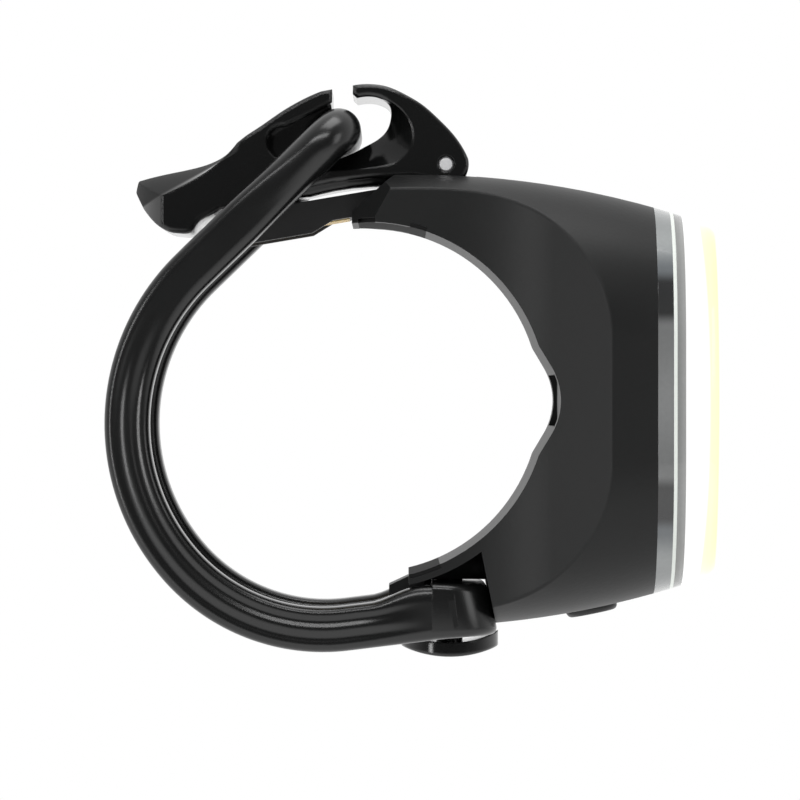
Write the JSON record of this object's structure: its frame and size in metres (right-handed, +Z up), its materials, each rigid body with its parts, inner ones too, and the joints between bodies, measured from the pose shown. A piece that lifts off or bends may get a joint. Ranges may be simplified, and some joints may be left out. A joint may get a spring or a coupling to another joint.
{
  "type": "bike headlight",
  "caption": "Black handlebar headlight with a curved saddle, clear square lens, silicone loop strap, cam lever on a steel pin, charging tongue and a button under the body.",
  "frame": {"origin": "centre of the 35 mm handlebar that the saddle seats on", "axes": "+X the beam, +Y along the handlebar, +Z up"},
  "size_m": [0.0604, 0.0404, 0.0567],
  "materials": {
    "body_black": "matte",
    "grip_rubber": "matte",
    "strap_silicone": "satin",
    "lever_gloss": "gloss",
    "pin_steel": "satin",
    "tongue_black": "satin",
    "contact_gold": "polished",
    "lens_clear": "polished",
    "lens_smoke": "polished",
    "seal_white": "satin",
    "diffuser_lit": "satin",
    "reflector_white": "gloss",
    "board_green": "satin",
    "led_yellow": "satin",
    "pad_grey": "matte",
    "spreader_aluminium": "satin",
    "cell_silver": "satin",
    "foam_grey": "matte",
    "lead_red": "satin",
    "flex_amber": "satin",
    "button_rubber": "satin"
  },
  "bodies": {
    "light_body": {"housing": "body_black", "upper_grip_pad": "grip_rubber", "lower_grip_pad": "grip_rubber", "strap": "strap_silicone", "strap_stud": "lever_gloss", "usb_tongue": "tongue_black", "usb_contacts": "contact_gold", "lens_frame": "lens_smoke", "lens_seal": "seal_white", "lens_cover": "lens_clear", "diffuser": "diffuser_lit", "reflector": "reflector_white", "led_board": "board_green", "leds": "led_yellow", "thermal_pad": "pad_grey", "heat_spreader": "spreader_aluminium", "frame_screws": "pin_steel", "main_board": "board_green", "battery_cell": "cell_silver", "battery_foam": "foam_grey", "battery_leads": "lead_red", "flex_cable": "flex_amber", "button_seal": "grip_rubber", "tactile_switch": "tongue_black"},
    "lever_body": {"lever": "lever_gloss", "lever_pin": "pin_steel"},
    "button_body": {"power_button": "button_rubber", "switch_plunger": "pad_grey"}
  },
  "joints": [
    {"name": "lever_hinge", "type": "hinge", "parent": "light_body", "child": "lever_body", "pos_m": [0.00768, 0, 0.02335], "axis": [0, 1, 0], "range_deg": [0, 95], "deforming": ["strap"]},
    {"name": "button_press", "type": "slide", "parent": "light_body", "child": "button_body", "axis": [-0.2, 0, 0.9798], "range_m": [0, 0.00035], "stiffness_N_per_m": 400}
  ]
}
